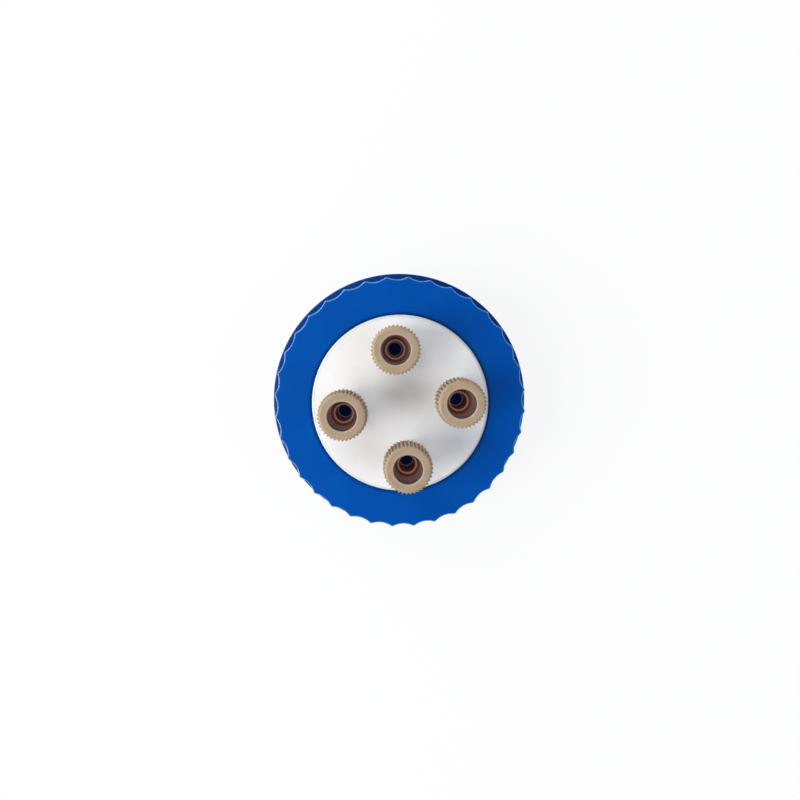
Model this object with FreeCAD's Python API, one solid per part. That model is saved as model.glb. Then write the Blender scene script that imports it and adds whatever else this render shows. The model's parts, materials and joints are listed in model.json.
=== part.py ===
import FreeCAD, Part
import math
import os

# Four-port safety cap for a GL 45 laboratory bottle, in millimetres.
# The origin is the centre of the skirt's lower rim, with +Z up along the cap's axis.
# A loose screw cap holds a turned insert, and four hollow screws clamp tubes into it.

# Screw cap, whose walls are measured outwards from the root of the bottle thread
CAP_HEIGHT = 27.0
SKIRT_WALL = 4.8
SKIRT_EDGE = 0.5
SHOULDER_ROUND = 0.35
GRIP_WALL = 3.7
GRIP_HEIGHT = 7.4
GRIP_EDGE_ROUND = 0.3
FLUTE_COUNT = 36
FLUTE_DEPTH = 0.72
FLUTE_PHASE_DEG = 6.4
RIDGE_ROUND = 0.6
LIP_THICKNESS = 3.0
APERTURE_EDGE = 0.2

# Bottle thread inside the cap
THREAD_PITCH = 4.0
THREAD_ROOT_R = 22.9
THREAD_RIDGE_HEIGHT = 1.4
THREAD_RIDGE_WIDTH = 2.7
THREAD_TURNS = 2.25
THREAD_START = 4.2
THREAD_EMBED = 0.25
MOUTH_CHAMFER = 0.8

# Bead that keeps the insert in the cap
BEAD_OVERLAP = 0.3
BEAD_HEIGHT = 0.9
BEAD_GAP = 0.2

# Insert, whose disc and plug are set back from the root of the bottle thread
DISC_SETBACK = 4.35
DISC_PROUD = 0.6
DISC_EDGE = 0.35
DISC_CLEARANCE = 0.2
LIP_CLEARANCE = 0.15
FLANGE_THICKNESS = 3.0
FLANGE_CLEARANCE = 0.2
PLUG_SETBACK = 8.5
PLUG_LENGTH = 11.0
PLUG_CHAMFER = 0.8
SEAL_GROOVE_DEPTH = 0.4

# Seal on the bottle's rim
SEAL_SETBACK = 1.75
SEAL_THICKNESS = 1.6
SEAL_CLEARANCE = 0.15

# Ports in the insert, set back from the disc's edge
PORT_COUNT = 4
PORT_SETBACK = 7.05
PORT_PHASE_DEG = 6.0
PORT_DEPTH = 5.6
PORT_CHAMFER = 0.35
PASSAGE_R = 1.5
PASSAGE_CHAMFER = 0.4

# Port screws
SCREW_THREAD_R = 3.175
SCREW_CLEARANCE = 0.075
SCREW_TOP_ABOVE_CAP = 15.5
HEAD_R = 4.85
HEAD_HEIGHT = 8.0
KNURL_COUNT = 38
KNURL_DEPTH = 0.38
HEAD_CHAMFER_WIDTH = 0.66
HEAD_CHAMFER_DROP = 0.45
HEAD_FOOT_CHAMFER = 0.4
HUB_R = 3.85
HUB_HEIGHT = 0.6
HUB_CHAMFER = 0.4
FUNNEL_R = 2.78
FUNNEL_DEPTH = 6.6
FUNNEL_EDGE = 0.21
GUIDE_R = 1.66
GUIDE_CHAMFER = 0.37
SHANK_CHAMFER = 0.35

# Ferrules that grip the tubes
FERRULE_BORE_R = 1.31
FERRULE_SLEEVE_CLEARANCE = 0.09
FERRULE_SLEEVE_TOP_ABOVE_CAP = 2.0
FERRULE_FOOT_CLEARANCE = 0.3
FERRULE_FOOT_HEIGHT = 1.4
FERRULE_CONE_R = 2.1
FERRULE_CONE_HEIGHT = 1.2
FERRULE_SEAT_GAP = 0.1

# Sizes that follow from the ones above
skirt_r = THREAD_ROOT_R + SKIRT_WALL
grip_r = THREAD_ROOT_R + GRIP_WALL
grip_bottom = CAP_HEIGHT - GRIP_HEIGHT
lip_bottom = CAP_HEIGHT - LIP_THICKNESS
disc_r = THREAD_ROOT_R - DISC_SETBACK
plug_r = THREAD_ROOT_R - PLUG_SETBACK
aperture_r = disc_r + DISC_CLEARANCE
thread_crest_r = THREAD_ROOT_R - THREAD_RIDGE_HEIGHT
flange_r = thread_crest_r - FLANGE_CLEARANCE
flange_top = lip_bottom - LIP_CLEARANCE
flange_bottom = flange_top - FLANGE_THICKNESS
bead_r = flange_r - BEAD_OVERLAP
bead_top = flange_bottom - BEAD_GAP
disc_top = CAP_HEIGHT + DISC_PROUD
plug_bottom = flange_bottom - PLUG_LENGTH
seal_inner_r = plug_r + SEAL_CLEARANCE
seal_outer_r = flange_r - SEAL_SETBACK
seal_top = flange_bottom + SEAL_GROOVE_DEPTH
port_r = SCREW_THREAD_R + SCREW_CLEARANCE
port_circle_r = disc_r - PORT_SETBACK
port_bottom = disc_top - PORT_DEPTH
screw_top = CAP_HEIGHT + SCREW_TOP_ABOVE_CAP
head_bottom = screw_top - HEAD_HEIGHT
hub_bottom = head_bottom - HUB_HEIGHT
guide_top = screw_top - FUNNEL_DEPTH
ferrule_foot_top = port_bottom + FERRULE_FOOT_HEIGHT
ferrule_cone_top = ferrule_foot_top + FERRULE_CONE_HEIGHT
ferrule_sleeve_r = GUIDE_R - FERRULE_SLEEVE_CLEARANCE
ferrule_sleeve_top = CAP_HEIGHT + FERRULE_SLEEVE_TOP_ABOVE_CAP
screw_bottom = ferrule_foot_top + FERRULE_SEAT_GAP


def lathe(profile):
    """Turn a closed outline of (radius, height) points into a solid about the Z axis."""
    points = [FreeCAD.Vector(radius, 0, height) for radius, height in profile]
    face = Part.Face(Part.makePolygon(points + points[:1]))
    return face.revolve(FreeCAD.Vector(0, 0, 0), FreeCAD.Vector(0, 0, 1), 360)


def on_circle(radius, angle_deg, height=0.0):
    """Give the point at this radius, angle and height."""
    angle = math.radians(angle_deg)
    return FreeCAD.Vector(radius * math.cos(angle), radius * math.sin(angle), height)


def fluted_grip():
    """Make the scalloped band round the top, whose concave flutes meet in narrow ridges."""
    step = 360.0 / FLUTE_COUNT
    arcs = []
    for index in range(FLUTE_COUNT):
        start = FLUTE_PHASE_DEG + index * step
        ridge = on_circle(grip_r, start)
        valley = on_circle(grip_r - FLUTE_DEPTH, start + step / 2)
        next_ridge = on_circle(grip_r, start + step)
        arcs.append(Part.Arc(ridge, valley, next_ridge).toShape())
    band = Part.Face(Part.Wire(arcs)).extrude(FreeCAD.Vector(0, 0, CAP_HEIGHT))
    ridges = [edge for edge in band.Edges if isinstance(edge.Curve, Part.Line)]
    band = band.makeFillet(RIDGE_ROUND, ridges)
    rim = [edge for edge in band.Edges if edge.BoundBox.ZMin > CAP_HEIGHT - 0.001]
    return band.makeFillet(GRIP_EDGE_ROUND, rim)


def skirt():
    """Make the plain skirt, up to the shoulder that the fluted band stands on."""
    body = Part.makeCylinder(skirt_r, grip_bottom)
    shoulder = [edge for edge in body.Edges if edge.BoundBox.ZMin > grip_bottom - 0.001]
    body = body.makeFillet(SHOULDER_ROUND, shoulder)
    foot = [edge for edge in body.Edges if edge.BoundBox.ZMax < 0.001]
    return body.makeChamfer(SKIRT_EDGE, foot)


def cap_hollow():
    """Make the space inside the cap: the mouth, the threaded wall, the bead and the aperture."""
    bead_bottom = bead_top - BEAD_HEIGHT
    bead_ramp = THREAD_ROOT_R - bead_r
    return lathe([
        (0, -1),
        (THREAD_ROOT_R + MOUTH_CHAMFER + 1, -1),
        (THREAD_ROOT_R, MOUTH_CHAMFER),
        (THREAD_ROOT_R, bead_bottom - bead_ramp),
        (bead_r, bead_bottom),
        (bead_r, bead_top),
        (THREAD_ROOT_R, bead_top),
        (THREAD_ROOT_R, lip_bottom),
        (aperture_r, lip_bottom),
        (aperture_r, CAP_HEIGHT - APERTURE_EDGE),
        (aperture_r + APERTURE_EDGE + 1, CAP_HEIGHT + 1),
        (0, CAP_HEIGHT + 1),
    ])


def bottle_thread():
    """Make the helical ridge that grips the bottle's neck, rounded in section and at both ends."""
    path = Part.Wire(Part.makeHelix(THREAD_PITCH, THREAD_PITCH * THREAD_TURNS, THREAD_ROOT_R))
    foot = THREAD_ROOT_R + THREAD_EMBED
    low = FreeCAD.Vector(foot, 0, -THREAD_RIDGE_WIDTH / 2)
    crest = FreeCAD.Vector(thread_crest_r, 0, 0)
    high = FreeCAD.Vector(foot, 0, THREAD_RIDGE_WIDTH / 2)
    profile = Part.Wire([Part.Arc(low, crest, high).toShape(), Part.makeLine(high, low)])
    ridge = path.makePipeShell([profile], True, True)
    middle = FreeCAD.Vector(foot, 0, 0)
    up = FreeCAD.Vector(0, 0, 1)
    first_end = Part.Face(profile).revolve(middle, up, 90)
    last_end = Part.Face(profile).revolve(middle, up, -90)
    last_end.Placement = FreeCAD.Placement(
        FreeCAD.Vector(0, 0, THREAD_PITCH * THREAD_TURNS),
        FreeCAD.Rotation(up, 360 * THREAD_TURNS),
    )
    ridge = ridge.fuse([first_end, last_end])
    ridge.translate(FreeCAD.Vector(0, 0, THREAD_START))
    return ridge


def screw_cap():
    """Make the cap's outside, hollow it and add the thread."""
    body = skirt().fuse(fluted_grip()).removeSplitter()
    return body.cut(cap_hollow()).fuse(bottle_thread()).removeSplitter()


def port_hole():
    """Make one port's cavity, centred on the Z axis: threaded hole, flat seat and passage."""
    return lathe([
        (0, plug_bottom - 1),
        (PASSAGE_R + PASSAGE_CHAMFER + 1, plug_bottom - 1),
        (PASSAGE_R, plug_bottom + PASSAGE_CHAMFER),
        (PASSAGE_R, port_bottom),
        (port_r, port_bottom),
        (port_r, disc_top - PORT_CHAMFER),
        (port_r + PORT_CHAMFER + 1, disc_top + 1),
        (0, disc_top + 1),
    ])


def insert():
    """Make the turned insert: the disc in the aperture, the trapped flange and the plug."""
    body = lathe([
        (0, plug_bottom),
        (plug_r - PLUG_CHAMFER, plug_bottom),
        (plug_r, plug_bottom + PLUG_CHAMFER),
        (plug_r, seal_top),
        (seal_outer_r + SEAL_CLEARANCE, seal_top),
        (seal_outer_r + SEAL_CLEARANCE, flange_bottom),
        (flange_r, flange_bottom),
        (flange_r, flange_top),
        (disc_r, flange_top),
        (disc_r, disc_top - DISC_EDGE),
        (disc_r - DISC_EDGE, disc_top),
        (0, disc_top),
    ])
    for hole in at_ports(port_hole()):
        body = body.cut(hole)
    return body


def rim_seal():
    """Make the flat ring that seals the insert's flange on the bottle's rim."""
    bottom = seal_top - SEAL_THICKNESS
    return lathe([
        (seal_inner_r, bottom),
        (seal_outer_r, bottom),
        (seal_outer_r, seal_top),
        (seal_inner_r, seal_top),
    ])


def knurled_blank():
    """Make a straight-knurled bar as tall as the screw's head."""
    points = []
    for index in range(2 * KNURL_COUNT):
        radius = HEAD_R - KNURL_DEPTH * (index % 2)
        points.append(on_circle(radius, index * 180.0 / KNURL_COUNT, head_bottom))
    outline = Part.Face(Part.makePolygon(points + points[:1]))
    return outline.extrude(FreeCAD.Vector(0, 0, HEAD_HEIGHT))


def port_screw():
    """Make one hollow screw, centred on the Z axis: knurled head, hub and shank."""
    head = knurled_blank().common(lathe([
        (0, head_bottom),
        (HEAD_R - HEAD_FOOT_CHAMFER, head_bottom),
        (HEAD_R, head_bottom + HEAD_FOOT_CHAMFER),
        (HEAD_R, screw_top - HEAD_CHAMFER_DROP),
        (HEAD_R - HEAD_CHAMFER_WIDTH, screw_top),
        (0, screw_top),
    ]))
    stem = lathe([
        (0, screw_bottom),
        (SCREW_THREAD_R - SHANK_CHAMFER, screw_bottom),
        (SCREW_THREAD_R, screw_bottom + SHANK_CHAMFER),
        (SCREW_THREAD_R, hub_bottom),
        (HUB_R - HUB_CHAMFER, hub_bottom),
        (HUB_R, hub_bottom + HUB_CHAMFER),
        (HUB_R, head_bottom),
        (0, head_bottom),
    ])
    cup_r = FERRULE_CONE_R + FERRULE_SEAT_GAP
    cup_top = ferrule_cone_top + FERRULE_SEAT_GAP
    bore = lathe([
        (0, screw_bottom - 1),
        (cup_r, screw_bottom - 1),
        (cup_r, screw_bottom),
        (GUIDE_R, cup_top),
        (GUIDE_R, guide_top - GUIDE_CHAMFER),
        (GUIDE_R + GUIDE_CHAMFER, guide_top),
        (FUNNEL_R, guide_top),
        (FUNNEL_R, screw_top - FUNNEL_EDGE),
        (FUNNEL_R + FUNNEL_EDGE + 1, screw_top + 1),
        (0, screw_top + 1),
    ])
    return head.fuse(stem).cut(bore).removeSplitter()


def port_ferrule():
    """Make one ferrule, centred on the Z axis: foot, cone and thin sleeve."""
    return lathe([
        (FERRULE_BORE_R, port_bottom),
        (port_r - FERRULE_FOOT_CLEARANCE, port_bottom),
        (port_r - FERRULE_FOOT_CLEARANCE, ferrule_foot_top),
        (FERRULE_CONE_R, ferrule_foot_top),
        (ferrule_sleeve_r, ferrule_cone_top),
        (ferrule_sleeve_r, ferrule_sleeve_top),
        (FERRULE_BORE_R, ferrule_sleeve_top),
    ])


def at_ports(piece):
    """Give a copy of the piece at each port, turned with the port circle."""
    copies = []
    for index in range(PORT_COUNT):
        angle = PORT_PHASE_DEG + index * 360.0 / PORT_COUNT
        turned = piece.copy()
        turned.Placement = FreeCAD.Placement(
            on_circle(port_circle_r, angle),
            FreeCAD.Rotation(FreeCAD.Vector(0, 0, 1), angle),
        )
        copies.append(turned)
    return copies


def save(name, shape):
    """Write one piece to its own file."""
    shape.exportStep("parts/" + name + ".step")


os.makedirs("parts", exist_ok=True)
save("screw_cap", screw_cap())
save("insert", insert())
save("rim_seal", rim_seal())
for number, screw in enumerate(at_ports(port_screw()), start=1):
    save("port_screw_" + str(number), screw)
for number, ferrule in enumerate(at_ports(port_ferrule()), start=1):
    save("port_ferrule_" + str(number), ferrule)
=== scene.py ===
import json
import math

import bmesh
import bpy
from mathutils import Matrix, Vector

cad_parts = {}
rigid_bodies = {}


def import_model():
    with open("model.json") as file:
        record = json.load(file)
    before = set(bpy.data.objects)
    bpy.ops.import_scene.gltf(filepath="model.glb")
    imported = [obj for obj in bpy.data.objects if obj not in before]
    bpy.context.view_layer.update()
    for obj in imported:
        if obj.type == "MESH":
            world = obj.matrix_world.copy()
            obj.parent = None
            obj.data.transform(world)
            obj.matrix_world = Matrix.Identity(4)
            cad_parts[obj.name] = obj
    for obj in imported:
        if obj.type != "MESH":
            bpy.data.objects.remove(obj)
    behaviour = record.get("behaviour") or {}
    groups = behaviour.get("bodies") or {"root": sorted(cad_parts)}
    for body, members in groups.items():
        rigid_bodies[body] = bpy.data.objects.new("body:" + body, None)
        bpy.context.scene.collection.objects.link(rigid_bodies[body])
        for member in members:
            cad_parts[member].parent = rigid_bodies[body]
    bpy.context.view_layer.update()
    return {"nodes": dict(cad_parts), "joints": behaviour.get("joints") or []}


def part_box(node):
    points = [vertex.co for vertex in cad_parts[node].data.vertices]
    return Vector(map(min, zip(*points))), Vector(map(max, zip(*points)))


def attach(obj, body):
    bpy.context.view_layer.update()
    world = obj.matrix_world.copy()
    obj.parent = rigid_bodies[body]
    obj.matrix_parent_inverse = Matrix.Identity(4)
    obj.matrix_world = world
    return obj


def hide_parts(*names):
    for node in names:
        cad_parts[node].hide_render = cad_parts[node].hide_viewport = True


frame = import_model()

MM = 0.001
WELD = 1e-6

# Heights and radii that the frame gives
cap_low, cap_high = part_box("screw_cap")
screw_low, screw_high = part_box("port_screw_1")
ferrule_low, ferrule_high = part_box("port_ferrule_1")
seal_low, seal_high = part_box("rim_seal")
SKIRT_R = cap_high.x
CAP_BOTTOM = cap_low.z
CAP_TOP = cap_high.z
SCREW_TOP = screw_high.z
SCREW_BOTTOM = screw_low.z
PORTS = [j for j in frame["joints"] if j["name"].endswith("_turn")]

# Screw cap, as in the solids
GRIP_R = 26.6 * MM
GRIP_HEIGHT = 7.4 * MM
GRIP_EDGE = 0.3 * MM
GRIP_EDGE_STEPS = 6
FLUTES = 36
FLUTE_DEPTH = 0.72 * MM
FLUTE_PHASE_DEG = 6.4
RIDGE_ROUND = 0.6 * MM
RIDGE_STEPS = 3
VALLEY_STEPS = 5
SHOULDER_ROUND = 0.35 * MM
SHOULDER_STEPS = 5
SKIRT_EDGE = 0.5 * MM
LIP_THICKNESS = 3.0 * MM
APERTURE_R = 18.75 * MM
APERTURE_EDGE = 0.2 * MM
THREAD_ROOT_R = 22.9 * MM
THREAD_CREST_R = 21.5 * MM
THREAD_WIDTH = 2.7 * MM
THREAD_PITCH = 4.0 * MM
THREAD_TURNS = 2.25
THREAD_START = 4.2 * MM
THREAD_EMBED = 0.25 * MM
THREAD_END = 1.65 * MM
THREAD_STEPS = 240
MOUTH_CHAMFER = 0.8 * MM
BEAD_R = 21.0 * MM
BEAD_TOP = 20.65 * MM
BEAD_HEIGHT = 0.9 * MM

# Port screws, as in the solids, with the thread that the solids leave plain
HEAD_R = 4.85 * MM
HEAD_HEIGHT = 8.0 * MM
TEETH = 38
TOOTH_DEPTH = 0.38 * MM
TOOTH_ROUND = 0.02 * MM
HEAD_CHAMFER_WIDTH = 0.66 * MM
HEAD_CHAMFER_DROP = 0.45 * MM
HEAD_FOOT_CHAMFER = 0.4 * MM
HUB_R = 3.85 * MM
HUB_HEIGHT = 0.6 * MM
HUB_CHAMFER = 0.4 * MM
FUNNEL_R = 2.78 * MM
FUNNEL_DEPTH = 6.6 * MM
FUNNEL_EDGE = 0.21 * MM
GUIDE_R = 1.66 * MM
GUIDE_CHAMFER = 0.37 * MM
CUP_R = 2.2 * MM
CUP_HEIGHT = 1.2 * MM
SHANK_R = 3.175 * MM
SHANK_CORE_R = 2.64 * MM
SHANK_PITCH = 25.4 / 28 * MM
SHANK_RIDGE_FOOT = 0.43 * MM
SHANK_RIDGE_CREST = 0.06 * MM
SHANK_RIDGE_EMBED = 0.1 * MM
SHANK_RUN_OUT = 0.02
SHANK_STEPS = 64

# Insert, as in the solids
DISC_R = 18.55 * MM
PASSAGE_R = 1.5 * MM

# Seal, as in the solids
SEAL_INNER_R = 14.55 * MM
SEAL_EDGE = 0.15 * MM

# Ferrules, as in the solids
FERRULE_BORE_R = 1.31 * MM
FERRULE_SLEEVE_R = 1.57 * MM
FERRULE_FOOT_R = 2.95 * MM
FERRULE_FOOT_HEIGHT = 1.4 * MM
FERRULE_CONE_R = 2.1 * MM
FERRULE_CONE_HEIGHT = 1.2 * MM


# Shader maths


class Wire:
    """An output socket of a material, on which arithmetic adds Math nodes."""

    def __init__(self, paint, socket):
        self.paint = paint
        self.socket = socket

    def maths(self, operation, first, second):
        """Add a Math node for two values, each a link or a number."""
        return self.paint.node("ShaderNodeMath", {"operation": operation}, {0: first, 1: second})

    def __add__(self, other):
        return self.maths("ADD", self, other)

    def __radd__(self, other):
        return self.maths("ADD", other, self)

    def __sub__(self, other):
        return self.maths("SUBTRACT", self, other)

    def __rsub__(self, other):
        return self.maths("SUBTRACT", other, self)

    def __mul__(self, other):
        return self.maths("MULTIPLY", self, other)

    def __rmul__(self, other):
        return self.maths("MULTIPLY", other, self)


# The colour sockets of a Mix node, which it has beside those for numbers
MIX_FIRST = 6
MIX_SECOND = 7
MIX_RESULT = 2


class Paint:
    """A material with one Principled shader, whose nodes all come from one method."""

    def __init__(self, name, **constants):
        self.material = bpy.data.materials.new(name)
        self.material.use_nodes = True
        self.tree = self.material.node_tree
        self.tree.nodes.clear()
        self.surface = self.tree.nodes.new("ShaderNodeBsdfPrincipled")
        for socket, value in constants.items():
            self.surface.inputs[socket.replace("_", " ")].default_value = value
        self.output = self.tree.nodes.new("ShaderNodeOutputMaterial")
        self.tree.links.new(self.surface.outputs[0], self.output.inputs["Surface"])

    def node(self, kind, settings, sockets, output=0):
        """Add a node, set it up, then give its sockets their values or links."""
        node = self.tree.nodes.new(kind)
        for name, value in settings.items():
            if name == "stops":
                self.set_stops(node.color_ramp.elements, value)
            else:
                setattr(node, name, value)
        for name, value in sockets.items():
            if isinstance(value, Wire):
                self.tree.links.new(value.socket, node.inputs[name])
            else:
                node.inputs[name].default_value = value
        return Wire(self, node.outputs[output])

    def set_stops(self, elements, stops):
        """Give a colour ramp these stops, each a position and a colour."""
        while len(elements) < len(stops):
            elements.new(0.5)
        for element, (position, colour) in zip(elements, stops):
            element.position = position
            element.color = colour

    def place(self):
        """Give the place on the object, in metres."""
        return self.node("ShaderNodeTexCoord", {}, {}, "Object")

    def mark(self, name):
        """Give a number that the mesh keeps for each point."""
        return self.node("ShaderNodeAttribute", {"attribute_name": name}, {}, "Fac")

    def noise(self, place, size, detail=2.0, roughness=0.5):
        """Noise whose blotches are about this size in metres."""
        sockets = {"Vector": place, "Scale": 1.0 / size, "Detail": detail, "Roughness": roughness}
        return self.node("ShaderNodeTexNoise", {}, sockets)

    def band(self, value, low, high):
        """Run from 0 to 1 as the value goes from low to high."""
        sockets = {"Value": value, "From Min": low, "From Max": high}
        return self.node("ShaderNodeMapRange", {"clamp": True}, sockets)

    def radius(self, place):
        """Give the distance from the Z axis."""
        sockets = {0: place, 1: (1, 1, 0)}
        flat = self.node("ShaderNodeVectorMath", {"operation": "MULTIPLY"}, sockets)
        return self.node("ShaderNodeVectorMath", {"operation": "LENGTH"}, {0: flat}, "Value")

    def mix(self, share, first, second):
        """Blend two colours, each a link or four numbers."""
        sockets = {0: share, MIX_FIRST: first, MIX_SECOND: second}
        return self.node("ShaderNodeMix", {"data_type": "RGBA"}, sockets, MIX_RESULT)

    def feed(self, socket, wire):
        """Lead a value into one of the shader's sockets."""
        self.tree.links.new(wire.socket, self.surface.inputs[socket])

    def bump(self, height, distance, strength):
        """Roughen the surface by a height from 0 to 1, which stands for this distance."""
        sockets = {"Height": height, "Distance": distance, "Strength": strength}
        self.feed("Normal", self.node("ShaderNodeBump", {}, sockets))


# Painted light and shade deep in the bores: a dim blue glow that stands in for daylight, and a
# dark colour that paints their shade
DEEP_GLOW = (0.0006, 0.0027, 0.0115, 1)
DEEP_SHADE = (0.02, 0.025, 0.035, 1)
NO_GLOW = (0, 0, 0, 1)


# Cap: two blues that blend in clouds, a painted shade for the shoulder's corner and a ring by the
# aperture, and a painted highlight for its edge
BLUE_LOW = (0.0002, 0.069, 0.352, 1)
BLUE_HIGH = (0.0003, 0.077, 0.385, 1)
BLUE_PAINTED_SHADE = (0.0002, 0.02, 0.11, 1)
BLUE_PAINTED_HIGHLIGHT = (0.05, 0.42, 0.92, 1)
LIP_SHADE_WIDTH = 0.8 * MM
LIP_SHADE_CORE = 0.1 * MM


def cap_plastic():
    """Blue moulded plastic: a satin skin with a fine grain, glossier at its edge and paler there
    by a painted highlight, with painted shade at the shoulder's corner and by the aperture.
    """
    paint = Paint(
        "cap_plastic", IOR=1.45, Specular_IOR_Level=0.12, Coat_Roughness=0.12, Coat_IOR=1.8
    )
    place = paint.place()
    cloud = paint.noise(place, size=9 * MM, detail=3.0)
    grain = paint.noise(place, size=0.16 * MM)
    blue = paint.mix(paint.band(cloud, low=0.3, high=0.7), BLUE_LOW, BLUE_HIGH)
    rim_highlight_and_coat = paint.mark("tone")
    radius = paint.radius(place)
    # Painted shade: a dark ring by the aperture, where the cap meets the insert, and the
    # shoulder's corner
    lip = paint.band(radius, low=APERTURE_R + LIP_SHADE_WIDTH, high=APERTURE_R + LIP_SHADE_CORE)
    blue = paint.mix(0.6 * paint.mark("shade") + 0.55 * lip, blue, BLUE_PAINTED_SHADE)
    # Painted highlight: the edge's rounding turns paler blue; its coat is real gloss
    paint.feed("Base Color", paint.mix(0.4 * rim_highlight_and_coat, blue, BLUE_PAINTED_HIGHLIGHT))
    paint.feed("Coat Weight", rim_highlight_and_coat)
    paint.feed("Roughness", 0.2 + 0.08 * grain)
    paint.bump(grain, distance=0.004 * MM, strength=0.35)
    return paint.material


# Insert: two whites that blend in clouds, a painted shade ring just inside the disc's edge, and a
# painted blue reflection on that edge
WHITE_LOW = (0.83, 0.83, 0.835, 1)
WHITE_HIGH = (0.875, 0.875, 0.875, 1)
SHADE_RING_TINT = (0.60, 0.60, 0.72, 1)
SHADE_RING_INNER = (DISC_R - 0.62 * MM, DISC_R - 0.47 * MM)
SHADE_RING_OUTER = (DISC_R - 0.3 * MM, DISC_R - 0.4 * MM)
RIM_REFLECTION_TINT = (0.58, 0.70, 0.86, 1)
RIM_REFLECTION_BAND = (DISC_R - 0.4 * MM, DISC_R - 0.15 * MM)
TURNING_PITCH = 1.4 * MM


def insert_plastic():
    """White turned plastic: waxy, with faint turning marks, a painted shade ring and a painted
    blue reflection at its edge, and painted shade with a dim painted blue glow down its passages.
    """
    paint = Paint("insert_plastic", IOR=1.38, Specular_IOR_Level=0.4, Emission_Strength=1.0)
    place = paint.place()
    cloud = paint.noise(place, size=6 * MM, detail=3.0)
    settings = {"wave_type": "RINGS", "rings_direction": "Z"}
    sockets = {"Vector": place, "Scale": 1.0 / TURNING_PITCH, "Distortion": 0.4, "Detail": 1.0}
    rings = paint.node("ShaderNodeTexWave", settings, sockets, "Fac")
    grain = paint.noise(place, size=0.12 * MM)
    white = paint.mix(paint.band(cloud, low=0.35, high=0.65), WHITE_LOW, WHITE_HIGH)
    radius = paint.radius(place)
    # Painted shade: a lilac ring just inside the disc's edge
    shade_ring = paint.band(radius, *SHADE_RING_INNER) * paint.band(radius, *SHADE_RING_OUTER)
    white = paint.mix(0.6 * shade_ring, white, SHADE_RING_TINT)
    # Painted reflection: a blue tint along the disc's edge
    white = paint.mix(0.6 * paint.band(radius, *RIM_REFLECTION_BAND), white, RIM_REFLECTION_TINT)
    # Painted shade and a painted dim blue glow down the passages
    bore = paint.mark("bore")
    paint.feed("Base Color", paint.mix(bore, white, DEEP_SHADE))
    paint.feed("Emission Color", paint.mix(bore, NO_GLOW, DEEP_GLOW))
    paint.feed("Roughness", 0.38 + 0.1 * grain)
    paint.bump(0.6 * rings + 0.4 * grain, distance=0.002 * MM, strength=0.3)
    return paint.material


# Where a point lies on a screw, as one number along its colours. From the outside it goes
# down through the mouth to the edge, and up through the lip and the bore.
TONE_EDGE = 0.0
TONE_MOUTH = 0.15
TONE_OUTSIDE = 0.2
TONE_LIP = 0.4
TONE_WALL = 0.55
TONE_CORNER = 0.65
TONE_STEP = 0.75
TONE_GUIDE = 0.9
TONE_DEEP = 1.0
# Painted light in the bore: the edge, the mouth and the step ring are painted highlight; the lip,
# the wall, the corner, the guide and the deep bore are painted shade
BORE_TONES = [
    (TONE_EDGE, (0.46, 0.37, 0.30, 1)),
    (TONE_MOUTH, (0.40, 0.305, 0.235, 1)),
    (TONE_OUTSIDE, (0.375, 0.272, 0.178, 1)),
    (TONE_LIP, (0.08, 0.055, 0.045, 1)),
    (TONE_WALL, (0.26, 0.155, 0.14, 1)),
    (TONE_CORNER, (0.12, 0.045, 0.024, 1)),
    (TONE_STEP, (0.58, 0.39, 0.28, 1)),
    (TONE_GUIDE, (0.26, 0.09, 0.032, 1)),
    (TONE_DEEP, (0.08, 0.045, 0.05, 1)),
]
# Painted glow in the bore, standing in for daylight that comes through the plastic
GLOW_TONES = [
    (TONE_OUTSIDE, NO_GLOW),
    (TONE_LIP, (0.012, 0.008, 0.007, 1)),
    (TONE_WALL, (0.048, 0.026, 0.026, 1)),
    (TONE_CORNER, (0.024, 0.0072, 0.002, 1)),
    (TONE_STEP, (0.105, 0.051, 0.034, 1)),
    (TONE_GUIDE, (0.030, 0.0062, 0.0016, 1)),
    (TONE_DEEP, (0.004, 0.002, 0.003, 1)),
]


# Tans: two that blend in clouds, the light and dark flecks, a painted highlight for the teeth's
# flanks and a painted shade for their grooves
TAN_LOW = (0.345, 0.246, 0.152, 1)
TAN_HIGH = (0.40, 0.293, 0.188, 1)
TAN_FLECK = (0.47, 0.37, 0.26, 1)
TAN_PIT = (0.245, 0.17, 0.10, 1)
TAN_FLANK_HIGHLIGHT = (0.66, 0.50, 0.36, 1)
TAN_GROOVE_SHADE = (0.12, 0.082, 0.055, 1)


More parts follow.
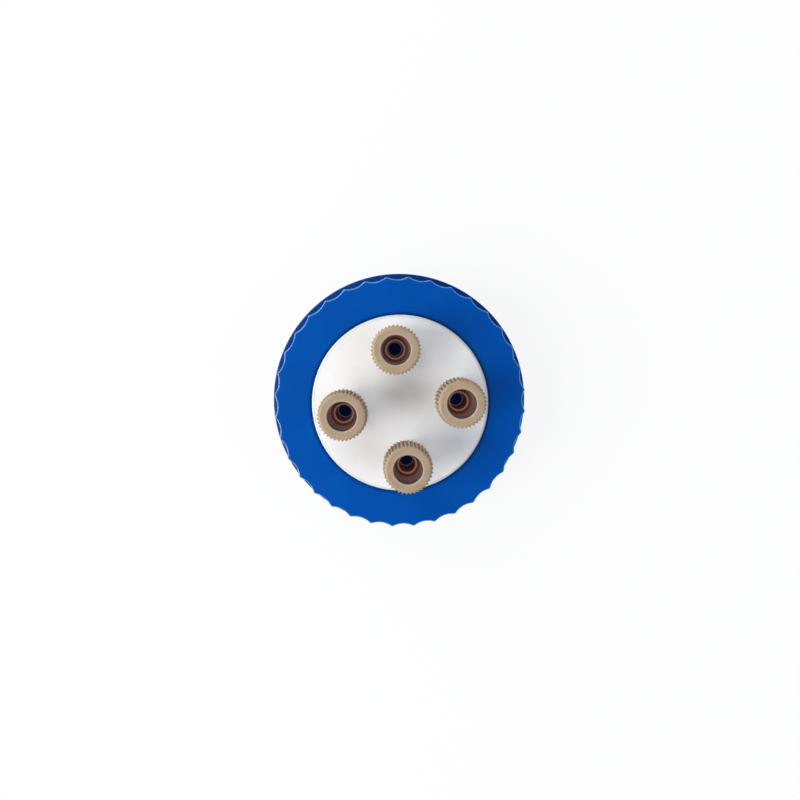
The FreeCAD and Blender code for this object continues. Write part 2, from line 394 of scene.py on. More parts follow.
def screw_plastic():
    """Tan moulded plastic, flecked, with painted shade in the knurl's grooves and down the bore,
    painted highlight on the teeth's flanks and the bore's edges, and a painted glow in the bore.
    """
    paint = Paint("screw_plastic", IOR=1.6, Specular_IOR_Level=0.4, Emission_Strength=1.0)
    place = paint.place()
    cloud = paint.noise(place, size=2.2 * MM, detail=3.0)
    flecks = paint.noise(place, size=0.22 * MM, detail=3.0, roughness=0.7)
    tone = paint.mark("tone")
    side = paint.mark("side")
    tan = paint.mix(paint.band(cloud, low=0.3, high=0.7), TAN_LOW, TAN_HIGH)
    tan = paint.mix(0.35 * paint.band(flecks, low=0.55, high=0.75), tan, TAN_FLECK)
    tan = paint.mix(0.30 * paint.band(flecks, low=0.42, high=0.25), tan, TAN_PIT)
    # Painted highlight on the teeth's flanks, and painted shade in their grooves
    tan = paint.mix(0.8 * side, tan, TAN_FLANK_HIGHLIGHT)
    tan = paint.mix(0.85 * paint.mark("groove"), tan, TAN_GROOVE_SHADE)
    # From the mouth down, the tan gives way to the bore's painted highlight and shade
    bore = paint.node("ShaderNodeValToRGB", {"stops": BORE_TONES}, {"Fac": tone}, "Color")
    mouth = paint.band(tone, low=TONE_OUTSIDE, high=TONE_MOUTH)
    down = paint.band(tone, low=TONE_OUTSIDE, high=TONE_LIP)
    paint.feed("Base Color", paint.mix(mouth + down, tan, bore))
    glow = paint.node("ShaderNodeValToRGB", {"stops": GLOW_TONES}, {"Fac": tone}, "Color")
    paint.feed("Emission Color", glow)
    paint.feed("Roughness", 0.3 + 0.14 * flecks + 0.5 * side)
    paint.bump(flecks, distance=0.006 * MM, strength=0.4)
    return paint.material


# Ferrule: two milky greys that blend in clouds, and a painted glow near the sleeve's top
MILKY_LOW = (0.42, 0.40, 0.45, 1)
MILKY_HIGH = (0.52, 0.49, 0.53, 1)
SLEEVE_GLOW = (0.045, 0.032, 0.043, 1)
SLEEVE_GLOW_DEPTH = 1.2 * MM


def ferrule_plastic():
    """Natural milky plastic, with a painted glow near the sleeve's top that stands in for
    daylight, and painted shade with a dim painted blue glow down its bore.
    """
    paint = Paint("ferrule_plastic", IOR=1.4, Specular_IOR_Level=0.45, Emission_Strength=1.0)
    place = paint.place()
    cloud = paint.noise(place, size=1.1 * MM, detail=3.0)
    milky = paint.mix(cloud, MILKY_LOW, MILKY_HIGH)
    # Painted shade and a painted dim blue glow down the bore
    bore = paint.mark("bore")
    paint.feed("Base Color", paint.mix(bore, milky, DEEP_SHADE))
    # Painted glow near the sleeve's top, standing in for daylight
    height = paint.node("ShaderNodeSeparateXYZ", {}, {"Vector": place}, "Z")
    lit = paint.band(height, low=ferrule_high.z - SLEEVE_GLOW_DEPTH, high=ferrule_high.z)
    glow = paint.mix(lit, NO_GLOW, SLEEVE_GLOW)
    paint.feed("Emission Color", paint.mix(bore, glow, DEEP_GLOW))
    paint.feed("Roughness", 0.3 + 0.15 * cloud)
    return paint.material


RUBBER_BLACK = (0.012, 0.012, 0.013, 1)
RUBBER_DUST = (0.03, 0.03, 0.032, 1)


def seal_rubber():
    """Black rubber with a dull, dusty skin."""
    paint = Paint("seal_rubber", IOR=1.5, Specular_IOR_Level=0.35)
    dust = paint.noise(paint.place(), size=0.7 * MM, detail=4.0, roughness=0.6)
    paint.feed("Base Color", paint.mix(dust, RUBBER_BLACK, RUBBER_DUST))
    paint.feed("Roughness", 0.5 + 0.25 * dust)
    paint.bump(dust, distance=0.01 * MM, strength=0.4)
    return paint.material


# Geometry trees


class Tree:
    """A Geometry Nodes tree with named inputs, run as a modifier and then made a plain mesh."""

    def __init__(self, name, inputs):
        self.group = bpy.data.node_groups.new(name, "GeometryNodeTree")
        face = self.group.interface
        face.new_socket("Geometry", in_out="INPUT", socket_type="NodeSocketGeometry")
        for label, kind in inputs.items():
            face.new_socket(label, in_out="INPUT", socket_type="NodeSocket" + kind)
        face.new_socket("Geometry", in_out="OUTPUT", socket_type="NodeSocketGeometry")
        self.given = self.group.nodes.new("NodeGroupInput").outputs
        self.result = self.group.nodes.new("NodeGroupOutput").inputs[0]

    def node(self, kind, settings, sockets, output=0):
        """Add a node, set it up, then give its sockets their values or links."""
        node = self.group.nodes.new(kind)
        for name, value in settings.items():
            setattr(node, name, value)
        for name, value in sockets.items():
            if isinstance(value, bpy.types.NodeSocket):
                self.group.links.new(value, node.inputs[name])
            else:
                node.inputs[name].default_value = value
        return node.outputs[output]

    def finish(self, geometry):
        """End the tree in real faces with the material set."""
        real = self.node("GeometryNodeRealizeInstances", {}, {"Geometry": geometry})
        real = self.node("GeometryNodeMergeByDistance", {}, {"Geometry": real, "Distance": WELD})
        sockets = {"Geometry": real, "Material": self.given["Material"]}
        self.group.links.new(self.node("GeometryNodeSetMaterial", {}, sockets), self.result)

    def run(self, mesh, name, values):
        """Run the tree on a mesh and give the result as a new object with no modifier."""
        piece = bpy.data.objects.new(name, mesh)
        bpy.context.scene.collection.objects.link(piece)
        modifier = piece.modifiers.new(self.group.name, "NODES")
        modifier.node_group = self.group
        for item in self.group.interface.items_tree:
            if item.in_out == "INPUT" and item.name in values:
                modifier[item.identifier] = values[item.name]
        bpy.context.view_layer.update()
        graph = bpy.context.evaluated_depsgraph_get()
        shape = bpy.data.meshes.new_from_object(
            piece.evaluated_get(graph), preserve_all_data_layers=True, depsgraph=graph
        )
        piece.modifiers.clear()
        piece.data = shape
        return piece


def repeat_round_tree():
    """Turn copies of one sector about the Z axis until they close the circle."""
    tree = Tree("repeat_round", {"Count": "Int", "Material": "Material"})
    count = tree.given["Count"]
    points = tree.node("GeometryNodeMeshLine", {}, {"Count": count, "Offset": (0, 0, 0)})
    index = tree.node("GeometryNodeInputIndex", {}, {})
    step = tree.node("ShaderNodeMath", {"operation": "DIVIDE"}, {0: math.tau, 1: count})
    angle = tree.node("ShaderNodeMath", {"operation": "MULTIPLY"}, {0: index, 1: step})
    euler = tree.node("ShaderNodeCombineXYZ", {}, {"Z": angle})
    turn = tree.node("FunctionNodeEulerToRotation", {}, {"Euler": euler})
    sockets = {"Points": points, "Instance": tree.given["Geometry"], "Rotation": turn}
    tree.finish(tree.node("GeometryNodeInstanceOnPoints", {}, sockets))
    return tree


# The share of a ridge's section that its ends keep, so that they stay closed
END_SCALE = 0.05


def follow_helix_tree():
    """Carry a closed section up a right-handed helix, rounding it off at both ends."""
    inputs = {
        "Radius": "Float",
        "Pitch": "Float",
        "Turns": "Float",
        "Steps": "Int",
        "Run Out": "Float",
        "Material": "Material",
    }
    tree = Tree("follow_helix", inputs)
    given = tree.given
    sockets = {0: given["Pitch"], 1: given["Turns"]}
    height = tree.node("ShaderNodeMath", {"operation": "MULTIPLY"}, sockets)
    sockets = {
        "Resolution": given["Steps"],
        "Rotations": given["Turns"],
        "Start Radius": given["Radius"],
        "End Radius": given["Radius"],
        "Height": height,
        "Reverse": True,
    }
    path = tree.node("GeometryNodeCurveSpiral", {}, sockets)
    path = tree.node("GeometryNodeSetCurveNormal", {"mode": "Z_UP"}, {"Curve": path})
    along = tree.node("GeometryNodeSplineParameter", {}, {}, "Factor")
    mirrored = tree.node("ShaderNodeMath", {"operation": "SUBTRACT"}, {0: 1.0, 1: along})
    nearer = tree.node("ShaderNodeMath", {"operation": "MINIMUM"}, {0: along, 1: mirrored})
    sockets = {0: nearer, 1: given["Run Out"]}
    share = tree.node("ShaderNodeMath", {"operation": "DIVIDE", "use_clamp": True}, sockets)
    short = tree.node("ShaderNodeMath", {"operation": "SUBTRACT"}, {0: 1.0, 1: share})
    square = tree.node("ShaderNodeMath", {"operation": "MULTIPLY"}, {0: short, 1: short})
    left = tree.node("ShaderNodeMath", {"operation": "SUBTRACT"}, {0: 1.0, 1: square})
    round_off = tree.node("ShaderNodeMath", {"operation": "SQRT"}, {0: left})
    some = tree.node("ShaderNodeMath", {"operation": "MAXIMUM"}, {0: round_off, 1: END_SCALE})
    section = tree.node("GeometryNodeMeshToCurve", {}, {"Mesh": given["Geometry"]})
    sockets = {"Curve": path, "Profile Curve": section, "Scale": some, "Fill Caps": True}
    tree.finish(tree.node("GeometryNodeCurveToMesh", {}, sockets))
    return tree


# Mesh helpers


def rounded(corners, steps=4):
    """Give a closed outline whose corners, each (radius, height, rounding), are arcs."""
    outline = []
    count = len(corners)
    for index, (x, z, size) in enumerate(corners):
        here = Vector((x, z))
        before = Vector(corners[index - 1][:2]) - here
        after = Vector(corners[(index + 1) % count][:2]) - here
        if size <= 0:
            outline.append((x, z))
            continue
        half = before.angle(after) / 2
        reach = size / math.tan(half)
        before.normalize()
        after.normalize()
        centre = here + (before + after).normalized() * size / math.sin(half)
        start = here + before * reach - centre
        turn = start.angle_signed(here + after * reach - centre)
        for step in range(steps + 1):
            outline.append(tuple(centre + Matrix.Rotation(-turn * step / steps, 2) @ start))
    return outline


def grid_mesh(name, columns, closed, **marks):
    """Join columns of points, each a closed loop, into a mesh. A closed one meets its start.

    Each mark is a number for every point, column by column, kept under its name.
    """
    shape = bmesh.new()
    layers = {mark: shape.verts.layers.float.new(mark) for mark in marks}
    rows = []
    for index, column in enumerate(columns):
        row = [shape.verts.new(point) for point in column]
        for mark, values in marks.items():
            for vertex, value in zip(row, values[index]):
                vertex[layers[mark]] = value
        rows.append(row)
    pairs = list(zip(rows, rows[1:] + rows[:1])) if closed else list(zip(rows, rows[1:]))
    for first, second in pairs:
        for index in range(len(first)):
            following = (index + 1) % len(first)
            shape.faces.new((first[index], second[index], second[following], first[following]))
    mesh = bpy.data.meshes.new(name)
    shape.to_mesh(mesh)
    shape.free()
    return mesh


def tidy(piece, material, sharp_deg=32):
    """Weld a piece, point its faces outwards and shade it smooth between its sharp edges."""
    shape = bmesh.new()
    shape.from_mesh(piece.data)
    bmesh.ops.remove_doubles(shape, verts=shape.verts, dist=WELD)
    bmesh.ops.recalc_face_normals(shape, faces=shape.faces)
    for face in shape.faces:
        face.smooth = True
        face.material_index = 0
    shape.to_mesh(piece.data)
    shape.free()
    piece.data.set_sharp_from_angle(angle=math.radians(sharp_deg))
    piece.data.materials.clear()
    piece.data.materials.append(material)
    return piece


def turned(name, corners, centre=(0.0, 0.0), segments=144):
    """Turn a closed outline, given by its corners, about a vertical axis."""
    outline = rounded(corners)
    columns = []
    for index in range(segments):
        angle = math.tau * index / segments
        x = math.cos(angle)
        y = math.sin(angle)
        columns.append([(centre[0] + r * x, centre[1] + r * y, z) for r, z in outline])
    piece = bpy.data.objects.new(name, grid_mesh(name, columns, True))
    bpy.context.scene.collection.objects.link(piece)
    return piece


def placed(piece, x, y, angle_deg=0.0):
    """Turn a piece about the Z axis and shift it, in its mesh."""
    move = Matrix.Translation((x, y, 0)) @ Matrix.Rotation(math.radians(angle_deg), 4, "Z")
    piece.data.transform(move)
    return piece


BORE_MARGIN = 0.03 * MM


def mark_bores(piece, radius):
    """Mark the points of a piece that lie on the walls of its bores, as deep as they go."""
    bore = piece.data.attributes.new("bore", "FLOAT", "POINT")
    for vertex, mark in zip(piece.data.vertices, bore.data):
        nearest = min((vertex.co.xy - Vector(port["pos_m"][:2])).length for port in PORTS)
        mark.value = 1.0 if nearest < radius + BORE_MARGIN else 0.0


def join(first, second):
    """Put the second piece's mesh into the first, as a shell of its own."""
    shape = bmesh.new()
    shape.from_mesh(first.data)
    shape.from_mesh(second.data)
    shape.to_mesh(first.data)
    shape.free()
    bpy.data.objects.remove(second)
    return first


def fit(piece, body, slot, *nodes):
    """Let a piece ride on a body and stand for its solids, which it hides. The slot is not used.
    """
    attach(piece, body)
    if nodes:
        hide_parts(*nodes)
    return piece


# Screw cap


def flute_outline():
    """Give one flute from ridge to ridge, as (point, outward normal) pairs."""
    half_step = math.pi / FLUTES
    chord = GRIP_R * math.sin(half_step)
    sag = GRIP_R * math.cos(half_step) - (GRIP_R - FLUTE_DEPTH)
    arc_r = (chord ** 2 + sag ** 2) / (2 * sag)
    centre_r = GRIP_R - FLUTE_DEPTH + arc_r
    centre = Vector((centre_r * math.cos(half_step), centre_r * math.sin(half_step)))
    reach = math.sqrt((arc_r + RIDGE_ROUND) ** 2 - centre.y ** 2)
    ridge = Vector((centre.x - reach, 0))
    lean = math.atan2(centre.y, centre.x - ridge.x)
    half = []
    for step in range(RIDGE_STEPS + 1):
        angle = lean * step / RIDGE_STEPS
        normal = Vector((math.cos(angle), math.sin(angle)))
        half.append((ridge + RIDGE_ROUND * normal, normal))
    first = math.pi + lean
    last = math.pi + half_step
    for step in range(1, VALLEY_STEPS + 1):
        angle = first + (last - first) * step / VALLEY_STEPS
        spoke = Vector((math.cos(angle), math.sin(angle)))
        half.append((centre + arc_r * spoke, -spoke))
    fold = Vector((math.cos(half_step), math.sin(half_step)))
    mirrored = []
    for point, normal in reversed(half[:-1]):
        opposite = 2 * point.dot(fold) * fold - point
        mirrored.append((opposite, 2 * normal.dot(fold) * fold - normal))
    return half + mirrored


# The shoulder's corner: how far it lies outside the ridges, and how dark its painted shade is
CORNER_GAP = 0.1 * MM
CORNER_SHADE = 0.6


def cap_column(point, normal):
    """Give the cap's section at one place round a flute: a loop, its tones, which mark the edge's
    painted highlight, and its painted shades.
    """
    spoke = point.normalized()
    loop = []
    tones = []
    shades = []

    def ring(radius, height, shade=0.0):
        loop.append((spoke.x * radius, spoke.y * radius, height))
        tones.append(0.0)
        shades.append(shade)

    def wall(inset, height, tone=0.0):
        loop.append((point.x - normal.x * inset, point.y - normal.y * inset, height))
        tones.append(tone)
        shades.append(0.0)

    ring(APERTURE_R + APERTURE_EDGE, CAP_TOP)
    ring(APERTURE_R + 3 * APERTURE_EDGE, CAP_TOP)
    ring((APERTURE_R + GRIP_R) / 2, CAP_TOP)
    ring(GRIP_R - FLUTE_DEPTH - 2 * GRIP_EDGE, CAP_TOP)
    # The tone on the edge's rounding paints its highlight and sets its coat
    for step in range(GRIP_EDGE_STEPS + 1):
        angle = math.pi / 2 * step / GRIP_EDGE_STEPS
        inset = GRIP_EDGE * (1 - math.sin(angle))
        wall(inset, CAP_TOP - GRIP_EDGE * (1 - math.cos(angle)), math.sin(2 * angle))
    shoulder = CAP_TOP - GRIP_HEIGHT
    wall(0, CAP_TOP - GRIP_HEIGHT / 2)
    wall(0, shoulder)
    # Painted shade in the shoulder's corner, fading out over its rounding
    ring(GRIP_R + CORNER_GAP, shoulder, CORNER_SHADE)
    for step in range(SHOULDER_STEPS + 1):
        angle = math.pi / 2 * step / SHOULDER_STEPS
        radius = SKIRT_R - SHOULDER_ROUND * (1 - math.sin(angle))
        ring(radius, shoulder - SHOULDER_ROUND * (1 - math.cos(angle)), math.cos(angle))
    bead_ramp = THREAD_ROOT_R - BEAD_R
    bead_bottom = BEAD_TOP - BEAD_HEIGHT
    lip_bottom = CAP_TOP - LIP_THICKNESS
    inside = rounded([
        (SKIRT_R, shoulder / 2, 0),
        (SKIRT_R, CAP_BOTTOM + SKIRT_EDGE, 0.15 * MM),
        (SKIRT_R - SKIRT_EDGE, CAP_BOTTOM, 0.15 * MM),
        (THREAD_ROOT_R + MOUTH_CHAMFER, CAP_BOTTOM, 0.15 * MM),
        (THREAD_ROOT_R, CAP_BOTTOM + MOUTH_CHAMFER, 0.15 * MM),
        (THREAD_ROOT_R, bead_bottom - bead_ramp, 0.3 * MM),
        (BEAD_R, bead_bottom, 0.25 * MM),
        (BEAD_R, BEAD_TOP, 0.25 * MM),
        (THREAD_ROOT_R, BEAD_TOP, 0.2 * MM),
        (THREAD_ROOT_R, lip_bottom, 0.3 * MM),
        (APERTURE_R, lip_bottom, 0.15 * MM),
        (APERTURE_R, CAP_TOP - APERTURE_EDGE, 0),
    ], steps=3)
    for radius, height in inside:
        ring(radius, height)
    return loop, tones, shades


def arc_outline(foot, crest, width, steps=12):
    """Give a round ridge's outline, from its foot at one side over the crest to the other."""
    rise = crest - foot
    radius = (rise ** 2 + width ** 2 / 4) / (2 * abs(rise))
    middle = crest - math.copysign(radius, rise)
    half = 2 * math.atan2(abs(rise), width / 2)
    outline = []
    for step in range(steps + 1):
        angle = half * (2 * step / steps - 1)
        out = middle + math.copysign(radius, rise) * math.cos(angle)
        outline.append((out, radius * math.sin(angle)))
    return outline


def helix_section(outline):
    """Give a ridge's section as a closed wire. Its first number counts outwards from the helix."""
    shape = bmesh.new()
    vertices = [shape.verts.new((x, y, 0)) for x, y in outline]
    for index, vertex in enumerate(vertices):
        shape.edges.new((vertex, vertices[(index + 1) % len(vertices)]))
    mesh = bpy.data.meshes.new("section")
    shape.to_mesh(mesh)
    shape.free()
    return mesh


def build_cap(repeat_round, follow_helix, material):
    """Repeat one flute's sector round the cap, and add the thread inside it."""
    sections = [cap_column(point, normal) for point, normal in flute_outline()]
    columns, tones, shades = zip(*sections)
    sector = grid_mesh("cap_sector", columns, False, tone=tones, shade=shades)
    shell = repeat_round.run(sector, "cap_shell", {"Count": FLUTES, "Material": material})
    placed(tidy(shell, material), 0, 0, FLUTE_PHASE_DEG)
    outline = arc_outline(THREAD_EMBED, THREAD_CREST_R - THREAD_ROOT_R, THREAD_WIDTH)
    values = {
        "Radius": THREAD_ROOT_R,
        "Pitch": THREAD_PITCH,
        "Turns": THREAD_TURNS,
        "Steps": THREAD_STEPS,
        "Run Out": THREAD_END / (math.tau * THREAD_ROOT_R * THREAD_TURNS),
        "Material": material,
    }
    thread = tidy(follow_helix.run(helix_section(outline), "cap_thread", values), material)
    thread.data.transform(Matrix.Translation((0, 0, THREAD_START)))
    fit(shell, "cap", "cap_plastic", "screw_cap")
    fit(thread, "cap", "cap_plastic")


# Insert


def build_insert(material):
    """Weld a copy of the insert's solid, so that its round walls can shade smooth."""
    piece = bpy.data.objects.new("insert_disc", frame["nodes"]["insert"].data.copy())
    bpy.context.scene.collection.objects.link(piece)
    stored = piece.data.attributes.get("custom_normal")
    if stored:
        piece.data.attributes.remove(stored)
    tidy(piece, material, sharp_deg=25)
    mark_bores(piece, PASSAGE_R)
    fit(piece, "insert", "insert_plastic", "insert")


def build_seal(material):
    """Turn the flat ring under the insert's flange."""
    outer = seal_high.x
    corners = [
        (SEAL_INNER_R, seal_low.z, SEAL_EDGE),
        (outer, seal_low.z, SEAL_EDGE),
        (outer, seal_high.z, SEAL_EDGE),
        (SEAL_INNER_R, seal_high.z, SEAL_EDGE),
    ]
    piece = tidy(turned("seal_ring", corners), material)
    fit(piece, "insert", "seal_rubber", "rim_seal")


# Port screws and ferrules


def tooth_radii():
    """Give one knurl tooth from crest to crest, as (angle, radius) pairs."""
    step = math.tau / TEETH
    root = HEAD_R - TOOTH_DEPTH
    return [
        (0, HEAD_R),
        (0.05 * step, HEAD_R - TOOTH_ROUND),
        (0.45 * step, root + TOOTH_ROUND),
        (0.5 * step, root),
        (0.55 * step, root + TOOTH_ROUND),
        (0.95 * step, HEAD_R - TOOTH_ROUND),
        (step, HEAD_R),
    ]


def screw_stations():
    """Give the screw's section as (kind, radius, height, tone) stations, from its mouth round.

    A "ring" keeps its radius. A "tooth" takes the knurl's, and a "side" is one on the flank.
    """
    head_bottom = SCREW_TOP - HEAD_HEIGHT
    hub_bottom = head_bottom - HUB_HEIGHT
    root = HEAD_R - TOOTH_DEPTH
    slope = HEAD_CHAMFER_DROP / HEAD_CHAMFER_WIDTH
    flat_r = HEAD_R - HEAD_CHAMFER_WIDTH
    mouth_r = FUNNEL_R + FUNNEL_EDGE
    lip = SCREW_TOP - FUNNEL_EDGE
    floor = SCREW_TOP - FUNNEL_DEPTH
    corner_r = GUIDE_R + GUIDE_CHAMFER
    guide_top = floor - GUIDE_CHAMFER
    edge = TONE_EDGE
    skin = TONE_OUTSIDE
    wall = TONE_WALL
    step = TONE_STEP
    guide = TONE_GUIDE
    return [
        ("ring", mouth_r, SCREW_TOP, edge),
        ("ring", mouth_r + 0.1 * MM, SCREW_TOP, TONE_MOUTH),
        ("ring", mouth_r + 0.55 * MM, SCREW_TOP, skin),
        ("ring", flat_r - 0.18 * MM, SCREW_TOP, skin),
        ("ring", flat_r - 0.12 * MM, SCREW_TOP, skin),
        ("ring", flat_r, SCREW_TOP - 0.021 * MM, skin),
        ("ring", flat_r + 0.1 * MM, SCREW_TOP - 0.1 * MM * slope, skin),
        ("ring", flat_r + 0.15 * MM, SCREW_TOP - 0.15 * MM * slope, skin),
        ("ring", root, SCREW_TOP - (root - flat_r) * slope, skin),
        ("tooth", 0, SCREW_TOP - HEAD_CHAMFER_DROP, skin),
        ("side", 0, SCREW_TOP - HEAD_CHAMFER_DROP - 0.25 * MM, skin),
        ("side", 0, head_bottom + HEAD_FOOT_CHAMFER, skin),
        ("ring", root, head_bottom + HEAD_FOOT_CHAMFER - TOOTH_DEPTH, skin),
        ("ring", HEAD_R - HEAD_FOOT_CHAMFER, head_bottom, skin),
        ("ring", HUB_R + 0.1 * MM, head_bottom, skin),
        ("ring", HUB_R, head_bottom - 0.1 * MM, skin),
        ("ring", HUB_R, hub_bottom + HUB_CHAMFER, skin),
        ("ring", HUB_R - 0.12 * MM, hub_bottom + HUB_CHAMFER / 3, skin),
        ("ring", HUB_R - HUB_CHAMFER, hub_bottom, skin),
        ("ring", SHANK_CORE_R, hub_bottom, skin),
        ("ring", SHANK_CORE_R, SCREW_BOTTOM + 0.15 * MM, skin),
        ("ring", SHANK_CORE_R - 0.15 * MM, SCREW_BOTTOM, skin),
        ("ring", CUP_R, SCREW_BOTTOM, skin),
        ("ring", GUIDE_R, SCREW_BOTTOM + CUP_HEIGHT, TONE_DEEP),
        ("ring", GUIDE_R, guide_top - 4.5 * MM, TONE_DEEP),
        ("ring", GUIDE_R, guide_top - 2.5 * MM, guide),
        ("ring", GUIDE_R, guide_top - 0.05 * MM, guide),
        ("ring", GUIDE_R + 0.04 * MM, guide_top + 0.02 * MM, step),
        ("ring", GUIDE_R + 0.7 * GUIDE_CHAMFER, floor - 0.3 * GUIDE_CHAMFER, step),
        ("ring", corner_r, floor, TONE_CORNER),
        ("ring", corner_r + 0.06 * MM, floor + 0.01 * MM, TONE_CORNER),
        ("ring", FUNNEL_R - 0.3 * MM, floor + 0.01 * MM, TONE_CORNER),
        ("ring", FUNNEL_R - 0.15 * MM, floor + 0.01 * MM, wall),
        ("ring", FUNNEL_R - 0.02 * MM, floor + 0.15 * MM, wall),
        ("ring", FUNNEL_R, floor + 2.0 * MM, wall),
        ("ring", FUNNEL_R, lip - 1.6 * MM, (TONE_LIP + wall) / 2),
        ("ring", FUNNEL_R, lip - 0.8 * MM, TONE_LIP),
        ("ring", FUNNEL_R, lip, TONE_LIP),
        ("ring", FUNNEL_R + 0.05 * MM, lip + 0.05 * MM, TONE_LIP),
        ("ring", FUNNEL_R + 0.12 * MM, lip + 0.12 * MM, edge),
    ]


def screw_mesh():
    """Make one tooth's sector of the screw, centred on the Z axis."""
    stations = screw_stations()
    columns = []
    grooves = []
    for angle, tooth_r in tooth_radii():
        column = []
        groove = []
        for kind, radius, height, _ in stations:
            r = radius if kind == "ring" else tooth_r
            column.append((r * math.cos(angle), r * math.sin(angle), height))
            groove.append(0 if kind == "ring" else (HEAD_R - tooth_r) / TOOTH_DEPTH)
        columns.append(column)
        grooves.append(groove)
    tones = [[station[3] for station in stations]] * len(columns)
    sides = [[1.0 if station[0] == "side" else 0.0 for station in stations]] * len(columns)
    return grid_mesh("screw_sector", columns, False, tone=tones, groove=grooves, side=sides)


def build_screws(repeat_round, follow_helix, material):
    """Make each port's screw: the body in sectors, then its thread as a helical ridge."""
    sector = screw_mesh()
    hub_bottom = SCREW_TOP - HEAD_HEIGHT - HUB_HEIGHT
    turns = (hub_bottom - SCREW_BOTTOM) / SHANK_PITCH - 1
    crest = SHANK_R - SHANK_CORE_R
    section = helix_section([
        (-SHANK_RIDGE_EMBED, -SHANK_RIDGE_FOOT),
        (crest, -SHANK_RIDGE_CREST),
        (crest, SHANK_RIDGE_CREST),
        (-SHANK_RIDGE_EMBED, SHANK_RIDGE_FOOT),
    ])
    values = {
        "Radius": SHANK_CORE_R,
        "Pitch": SHANK_PITCH,
        "Turns": turns,
        "Steps": SHANK_STEPS,
        "Run Out": SHANK_RUN_OUT,
        "Material": material,
    }
    for number, port in enumerate(PORTS, start=1):
        x, y, _ = port["pos_m"]
        turn = math.degrees(math.atan2(y, x))
        name = "screw_" + str(number)
        body = repeat_round.run(sector.copy(), name, {"Count": TEETH, "Material": material})
        tidy(body, material, sharp_deg=28)
        ridge = follow_helix.run(section.copy(), name + "_thread", values)
        tidy(ridge, material, sharp_deg=40)
        ridge.data.transform(Matrix.Translation((0, 0, SCREW_BOTTOM + 0.5 * SHANK_PITCH)))
        placed(join(body, ridge), x, y, turn)
        fit(body, port["child"], "screw_plastic", "port_screw_" + str(number))


def build_ferrules(material):
    """Turn the ferrule that each screw presses on."""
    low = ferrule_low.z
    cone_low = low + FERRULE_FOOT_HEIGHT
    corners = [
        (FERRULE_BORE_R, low, 0.1 * MM),
        (FERRULE_FOOT_R, low, 0.15 * MM),
        (FERRULE_FOOT_R, cone_low, 0.15 * MM),
        (FERRULE_CONE_R, cone_low, 0),
        (FERRULE_SLEEVE_R, cone_low + FERRULE_CONE_HEIGHT, 0.2 * MM),
        (FERRULE_SLEEVE_R, ferrule_high.z, 0.06 * MM),
        (FERRULE_BORE_R, ferrule_high.z, 0.1 * MM),
    ]
    for number, port in enumerate(PORTS, start=1):
        piece = turned("ferrule_" + str(number), corners, port["pos_m"][:2], segments=96)
        tidy(piece, material)
        mark_bores(piece, FERRULE_BORE_R)
        fit(piece, port["parent"], "ferrule_plastic", "port_ferrule_" + str(number))


repeat_round = repeat_round_tree()
follow_helix = follow_helix_tree()
blue = cap_plastic()
tan = screw_plastic()
build_cap(repeat_round, follow_helix, blue)
build_insert(insert_plastic())
build_seal(seal_rubber())
build_screws(repeat_round, follow_helix, tan)
build_ferrules(ferrule_plastic())


# Floor, light and camera

FLOOR_HALF = 4.0
FLOOR_GREY = (0.86, 0.86, 0.86, 1)
PAPER_SHARE = 0.87
PAPER_START_R = SKIRT_R - 2 * MM


def floor_paint():
    """White paper for the camera, with part of the shadow kept, and under the cap a painted dim
    blue glow.
    """
    paint = Paint("floor")
    tree = paint.tree
    tree.nodes.remove(paint.surface)
    matt = paint.node("ShaderNodeBsdfDiffuse", {}, {"Color": FLOOR_GREY})
    paper = paint.node("ShaderNodeEmission", {}, {"Color": (1, 1, 1, 1)})
    # Under the cap the camera sees a painted dim blue glow, in place of the shaded floor there
    dim = paint.node("ShaderNodeEmission", {}, {"Color": DEEP_GLOW})
    seen = paint.node("ShaderNodeLightPath", {}, {}, "Is Camera Ray")
    place = paint.node("ShaderNodeNewGeometry", {}, {}, "Position")
    apart = paint.node("ShaderNodeVectorMath", {"operation": "LENGTH"}, {0: place}, "Value")
    sockets = {0: apart, 1: PAPER_START_R}
    outside = paint.node("ShaderNodeMath", {"operation": "GREATER_THAN"}, sockets)
    share = PAPER_SHARE * seen * outside
    bright = paint.node("ShaderNodeMixShader", {}, {0: share, 1: matt, 2: paper})
    mixed = paint.node("ShaderNodeMixShader", {}, {0: seen * (1 - outside), 1: bright, 2: dim})
    tree.links.new(mixed.socket, paint.output.inputs["Surface"])
    return paint.material


def build_floor():
    """Lay a wide floor under the object."""
    mesh = bpy.data.meshes.new("floor")
    signs = [(-1, -1), (1, -1), (1, 1), (-1, 1)]
    corners = [(x * FLOOR_HALF, y * FLOOR_HALF, 0) for x, y in signs]
    mesh.from_pydata(corners, [], [(0, 1, 2, 3)])
    mesh.materials.append(floor_paint())
    floor = bpy.data.objects.new("floor", mesh)
    bpy.context.scene.collection.objects.link(floor)


def aim(thing, place, target, right=Vector((1, 0, 0))):
    """Point a camera or lamp at a target, with this direction kept to the right."""
    view = (Vector(target) - Vector(place)).normalized()
    x = (right - right.dot(view) * view).normalized()
    y = x.cross(view)
    turn = Matrix((x, y, -view)).transposed().to_4x4()
    thing.matrix_world = Matrix.Translation(place) @ turn


def lamp(name, azimuth_deg, elevation_deg, distance, size, power, colour):
    """Hang a square softbox that looks at the cap."""
    data = bpy.data.lights.new(name, "AREA")
    data.shape = "SQUARE"
    data.size = size
    data.energy = power
    data.color = colour
    light = bpy.data.objects.new(name, data)
    bpy.context.scene.collection.objects.link(light)
    azimuth = math.radians(azimuth_deg)
    elevation = math.radians(elevation_deg)
    flat = distance * math.cos(elevation)
    height = CAP_TOP + distance * math.sin(elevation)
    aim(light, (flat * math.cos(azimuth), flat * math.sin(azimuth), height), (0, 0, CAP_TOP))


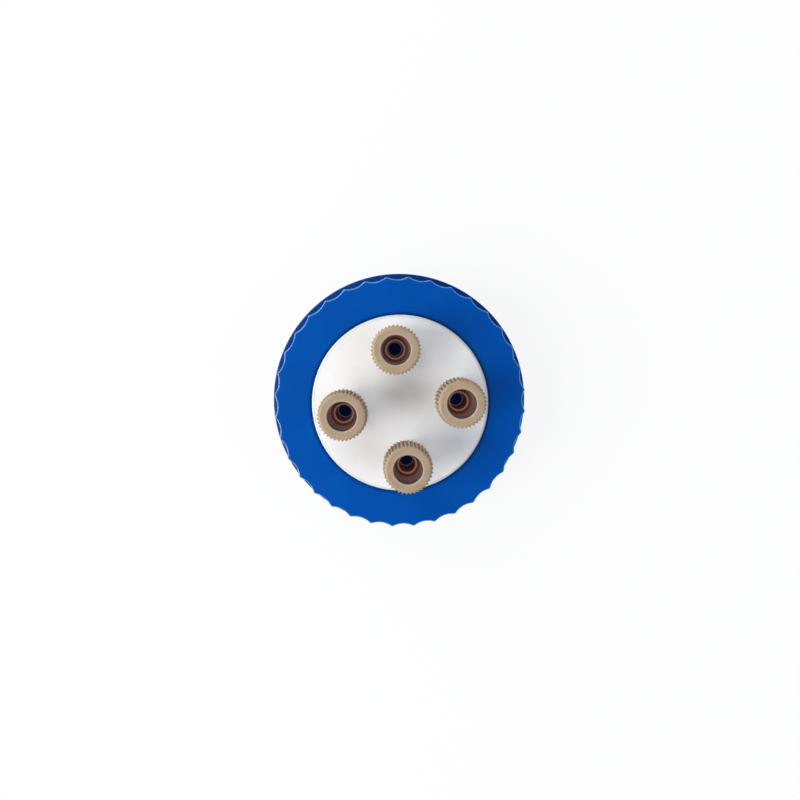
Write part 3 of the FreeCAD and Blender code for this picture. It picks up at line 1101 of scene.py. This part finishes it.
# The sky's strengths, and the rise over which its reflection fades
SKY_SEEN = 1.0
SKY_LIGHT = 0.23
SKY_GLOSS_LOW = 1.0
SKY_GLOSS_HIGH = 0.05
SKY_FADE = (0.1, 0.6)


def sky():
    """White for the camera, even as a light, and in reflections bright only near the horizon."""
    world = bpy.data.worlds.new("studio")
    bpy.context.scene.world = world
    world.use_nodes = True
    tree = world.node_tree
    shade = tree.nodes["Background"]
    shade.inputs["Color"].default_value = (1, 1, 1, 1)
    path = tree.nodes.new("ShaderNodeLightPath")
    place = tree.nodes.new("ShaderNodeTexCoord")
    split = tree.nodes.new("ShaderNodeSeparateXYZ")
    tree.links.new(place.outputs["Generated"], split.inputs[0])
    rise = tree.nodes.new("ShaderNodeMapRange")
    rise.inputs["From Min"].default_value = SKY_FADE[0]
    rise.inputs["From Max"].default_value = SKY_FADE[1]
    rise.inputs["To Min"].default_value = SKY_GLOSS_LOW
    rise.inputs["To Max"].default_value = SKY_GLOSS_HIGH
    tree.links.new(split.outputs["Z"], rise.inputs["Value"])
    gloss = tree.nodes.new("ShaderNodeMix")
    gloss.inputs["A"].default_value = SKY_LIGHT
    tree.links.new(path.outputs["Is Glossy Ray"], gloss.inputs["Factor"])
    tree.links.new(rise.outputs["Result"], gloss.inputs["B"])
    seen = tree.nodes.new("ShaderNodeMix")
    seen.inputs["B"].default_value = SKY_SEEN
    tree.links.new(path.outputs["Is Camera Ray"], seen.inputs["Factor"])
    tree.links.new(gloss.outputs["Result"], seen.inputs["A"])
    tree.links.new(seen.outputs["Result"], shade.inputs["Strength"])


build_floor()
sky()
# Name, azimuth, elevation, distance, size, power and colour of each lamp
LAMPS = [
    ("key", 195, 46, 0.8, 0.5, 5.0, (1.0, 0.985, 0.96)),
    ("fill", -8, 50, 0.8, 0.5, 1.5, (0.58, 0.76, 1.0)),
    ("back", 118, 50, 0.8, 0.5, 1.7, (1.0, 0.97, 0.92)),
    ("front", 255, 35, 0.8, 0.4, 0.8, (1, 1, 1)),
    ("edge", 140, 14, 0.6, 0.35, 1.0, (1, 1, 1)),
]
for settings in LAMPS:
    lamp(*settings)

# The camera looks down from 155 mm above the cap, a little to its upper left.
CAMERA_ABOVE_CAP = 155 * MM
CAMERA_OFFSET = (-3.57 * MM, 13.46 * MM)
AIM_OFFSET = (-0.055 * MM, 0.705 * MM)
FOCAL_PX = 738.2
IMAGE_PX = 800
SENSOR_WIDTH = 36
NEAREST_SEEN = 5 * MM
camera_data = bpy.data.cameras.new("camera")
camera_data.sensor_width = SENSOR_WIDTH
camera_data.lens = FOCAL_PX * SENSOR_WIDTH / IMAGE_PX
camera_data.clip_start = NEAREST_SEEN
camera = bpy.data.objects.new("camera", camera_data)
bpy.context.scene.collection.objects.link(camera)
aim(camera, (*CAMERA_OFFSET, CAP_TOP + CAMERA_ABOVE_CAP), (*AIM_OFFSET, CAP_TOP))
bpy.context.scene.camera = camera
bpy.context.scene.view_settings.view_transform = "Standard"
